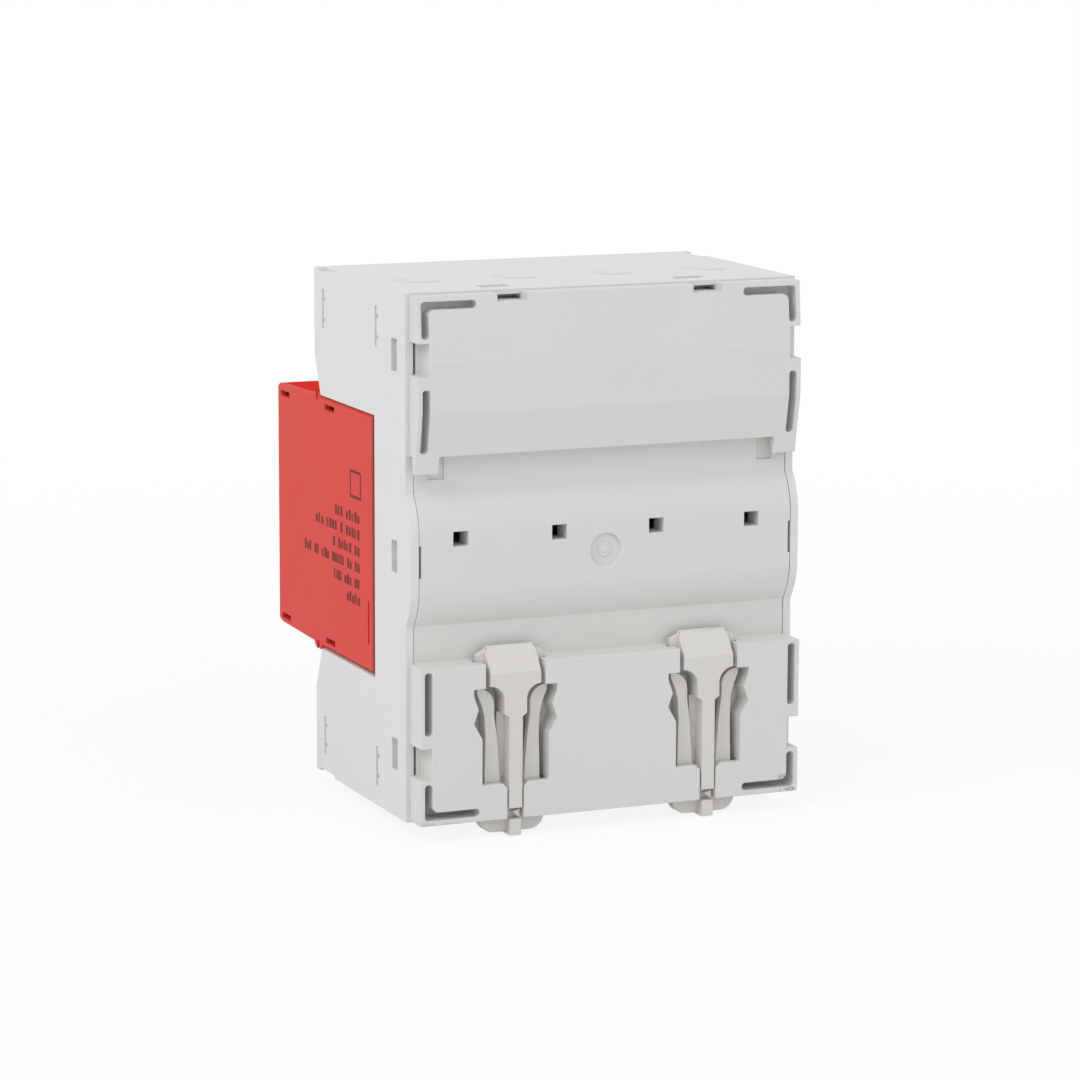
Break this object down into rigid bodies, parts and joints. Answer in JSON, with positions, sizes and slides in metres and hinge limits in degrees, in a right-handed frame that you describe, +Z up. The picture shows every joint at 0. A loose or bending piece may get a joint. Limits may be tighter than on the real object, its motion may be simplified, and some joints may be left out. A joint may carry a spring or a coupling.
{
  "type": "din rail surge arrester",
  "caption": "Box-shaped surge arrester for a top-hat rail: light grey C-shaped housing with screw terminals above and below, red plug-in modules in its bay, sprung foot catches on its back.",
  "frame": {"origin": "middle of the rail seat plane, on the rail's centre line", "axes": "+X across the poles, +Y out of the back towards the rail, +Z up"},
  "size_m": [0.072, 0.0693, 0.0927],
  "materials": {
    "housing_grey": "fine moulded texture, light grey",
    "base_grey": "fine moulded texture, light grey",
    "clip_grey": "smooth moulded, warm light grey",
    "module_red": "smooth moulded, red",
    "cover_red": "satin moulded, red",
    "tinned_copper": "tin plated strip",
    "zinc_steel": "zinc plated",
    "spring_steel": "drawn wire",
    "varistor_coating": "dipped epoxy coating",
    "flag_green": "smooth moulded, green and red fields",
    "clear_pane": "clear moulded pane"
  },
  "bodies": {
    "housing": {"housing": "housing_grey", "rear_base": "base_grey", "earth_busbar": "tinned_copper", "line_contact_1": "tinned_copper", "line_contact_2": "tinned_copper", "line_contact_3": "tinned_copper", "line_contact_4": "tinned_copper"},
    "clip_1": {"din_clip_1": "clip_grey"},
    "clip_2": {"din_clip_2": "clip_grey"},
    "line_screw_1": {"line_screw_1": "zinc_steel"},
    "line_clamp_1": {"line_cage_1": "zinc_steel"},
    "line_screw_2": {"line_screw_2": "zinc_steel"},
    "line_clamp_2": {"line_cage_2": "zinc_steel"},
    "line_screw_3": {"line_screw_3": "zinc_steel"},
    "line_clamp_3": {"line_cage_3": "zinc_steel"},
    "line_screw_4": {"line_screw_4": "zinc_steel"},
    "line_clamp_4": {"line_cage_4": "zinc_steel"},
    "earth_screw_1": {"earth_screw_1": "zinc_steel"},
    "earth_clamp_1": {"earth_cage_1": "zinc_steel"},
    "earth_screw_2": {"earth_screw_2": "zinc_steel"},
    "earth_clamp_2": {"earth_cage_2": "zinc_steel"},
    "earth_screw_3": {"earth_screw_3": "zinc_steel"},
    "earth_clamp_3": {"earth_cage_3": "zinc_steel"},
    "earth_screw_4": {"earth_screw_4": "zinc_steel"},
    "earth_clamp_4": {"earth_cage_4": "zinc_steel"},
    "module_1": {"cartridge_shell_1": "module_red", "cartridge_cover_1": "cover_red", "varistor_1": "varistor_coating", "line_blade_1": "tinned_copper", "earth_blade_1": "tinned_copper", "disconnect_spring_1": "spring_steel", "status_window_1": "clear_pane"},
    "flag_1": {"status_flag_1": "flag_green"},
    "module_2": {"cartridge_shell_2": "module_red", "cartridge_cover_2": "cover_red", "varistor_2": "varistor_coating", "line_blade_2": "tinned_copper", "earth_blade_2": "tinned_copper", "disconnect_spring_2": "spring_steel", "status_window_2": "clear_pane"},
    "flag_2": {"status_flag_2": "flag_green"},
    "module_3": {"cartridge_shell_3": "module_red", "cartridge_cover_3": "cover_red", "varistor_3": "varistor_coating", "line_blade_3": "tinned_copper", "earth_blade_3": "tinned_copper", "disconnect_spring_3": "spring_steel", "status_window_3": "clear_pane"},
    "flag_3": {"status_flag_3": "flag_green"},
    "module_4": {"cartridge_shell_4": "module_red", "cartridge_cover_4": "cover_red", "varistor_4": "varistor_coating", "line_blade_4": "tinned_copper", "earth_blade_4": "tinned_copper", "disconnect_spring_4": "spring_steel", "status_window_4": "clear_pane"},
    "flag_4": {"status_flag_4": "flag_green"}
  },
  "joints": [
    {"name": "clip_1_slide", "type": "slide", "parent": "housing", "child": "clip_1", "axis": [0, 0, -1], "range_m": [0, 0.0048]},
    {"name": "clip_2_slide", "type": "slide", "parent": "housing", "child": "clip_2", "axis": [0, 0, -1], "range_m": [0, 0.0048]},
    {"name": "line_screw_1_turn", "type": "hinge", "parent": "housing", "child": "line_screw_1", "pos_m": [-0.027, -0.0385, 0.036], "axis": [0, 1, 0], "range_deg": [0, 3240]},
    {"name": "line_clamp_1_lift", "type": "slide", "parent": "housing", "child": "line_clamp_1", "axis": [0, -1, 0], "range_m": [0, 0.0072]},
    {"name": "line_screw_2_turn", "type": "hinge", "parent": "housing", "child": "line_screw_2", "pos_m": [-0.009, -0.0385, 0.036], "axis": [0, 1, 0], "range_deg": [0, 3240]},
    {"name": "line_clamp_2_lift", "type": "slide", "parent": "housing", "child": "line_clamp_2", "axis": [0, -1, 0], "range_m": [0, 0.0072]},
    {"name": "line_screw_3_turn", "type": "hinge", "parent": "housing", "child": "line_screw_3", "pos_m": [0.009, -0.0385, 0.036], "axis": [0, 1, 0], "range_deg": [0, 3240]},
    {"name": "line_clamp_3_lift", "type": "slide", "parent": "housing", "child": "line_clamp_3", "axis": [0, -1, 0], "range_m": [0, 0.0072]},
    {"name": "line_screw_4_turn", "type": "hinge", "parent": "housing", "child": "line_screw_4", "pos_m": [0.027, -0.0385, 0.036], "axis": [0, 1, 0], "range_deg": [0, 3240]},
    {"name": "line_clamp_4_lift", "type": "slide", "parent": "housing", "child": "line_clamp_4", "axis": [0, -1, 0], "range_m": [0, 0.0072]},
    {"name": "earth_screw_1_turn", "type": "hinge", "parent": "housing", "child": "earth_screw_1", "pos_m": [-0.027, -0.0385, -0.036], "axis": [0, 1, 0], "range_deg": [0, 3240]},
    {"name": "earth_clamp_1_lift", "type": "slide", "parent": "housing", "child": "earth_clamp_1", "axis": [0, -1, 0], "range_m": [0, 0.0072]},
    {"name": "earth_screw_2_turn", "type": "hinge", "parent": "housing", "child": "earth_screw_2", "pos_m": [-0.009, -0.0385, -0.036], "axis": [0, 1, 0], "range_deg": [0, 3240]},
    {"name": "earth_clamp_2_lift", "type": "slide", "parent": "housing", "child": "earth_clamp_2", "axis": [0, -1, 0], "range_m": [0, 0.0072]},
    {"name": "earth_screw_3_turn", "type": "hinge", "parent": "housing", "child": "earth_screw_3", "pos_m": [0.009, -0.0385, -0.036], "axis": [0, 1, 0], "range_deg": [0, 3240]},
    {"name": "earth_clamp_3_lift", "type": "slide", "parent": "housing", "child": "earth_clamp_3", "axis": [0, -1, 0], "range_m": [0, 0.0072]},
    {"name": "earth_screw_4_turn", "type": "hinge", "parent": "housing", "child": "earth_screw_4", "pos_m": [0.027, -0.0385, -0.036], "axis": [0, 1, 0], "range_deg": [0, 3240]},
    {"name": "earth_clamp_4_lift", "type": "slide", "parent": "housing", "child": "earth_clamp_4", "axis": [0, -1, 0], "range_m": [0, 0.0072]},
    {"name": "module_1_pull", "type": "slide", "parent": "housing", "child": "module_1", "axis": [0, -1, 0], "range_m": [0, 0.04]},
    {"name": "flag_1_rise", "type": "slide", "parent": "module_1", "child": "flag_1", "axis": [0, 0, 1], "range_m": [0, 0.005], "deforming": ["disconnect_spring_1"]},
    {"name": "module_2_pull", "type": "slide", "parent": "housing", "child": "module_2", "axis": [0, -1, 0], "range_m": [0, 0.04]},
    {"name": "flag_2_rise", "type": "slide", "parent": "module_2", "child": "flag_2", "axis": [0, 0, 1], "range_m": [0, 0.005], "deforming": ["disconnect_spring_2"]},
    {"name": "module_3_pull", "type": "slide", "parent": "housing", "child": "module_3", "axis": [0, -1, 0], "range_m": [0, 0.04]},
    {"name": "flag_3_rise", "type": "slide", "parent": "module_3", "child": "flag_3", "axis": [0, 0, 1], "range_m": [0, 0.005], "deforming": ["disconnect_spring_3"]},
    {"name": "module_4_pull", "type": "slide", "parent": "housing", "child": "module_4", "axis": [0, -1, 0], "range_m": [0, 0.04]},
    {"name": "flag_4_rise", "type": "slide", "parent": "module_4", "child": "flag_4", "axis": [0, 0, 1], "range_m": [0, 0.005], "deforming": ["disconnect_spring_4"]}
  ],
  "couplings": [
    {"joint": "line_screw_1_turn", "follows": "line_clamp_1_lift", "rad_per_m": 7854},
    {"joint": "line_screw_2_turn", "follows": "line_clamp_2_lift", "rad_per_m": 7854},
    {"joint": "line_screw_3_turn", "follows": "line_clamp_3_lift", "rad_per_m": 7854},
    {"joint": "line_screw_4_turn", "follows": "line_clamp_4_lift", "rad_per_m": 7854},
    {"joint": "earth_screw_1_turn", "follows": "earth_clamp_1_lift", "rad_per_m": 7854},
    {"joint": "earth_screw_2_turn", "follows": "earth_clamp_2_lift", "rad_per_m": 7854},
    {"joint": "earth_screw_3_turn", "follows": "earth_clamp_3_lift", "rad_per_m": 7854},
    {"joint": "earth_screw_4_turn", "follows": "earth_clamp_4_lift", "rad_per_m": 7854}
  ]
}
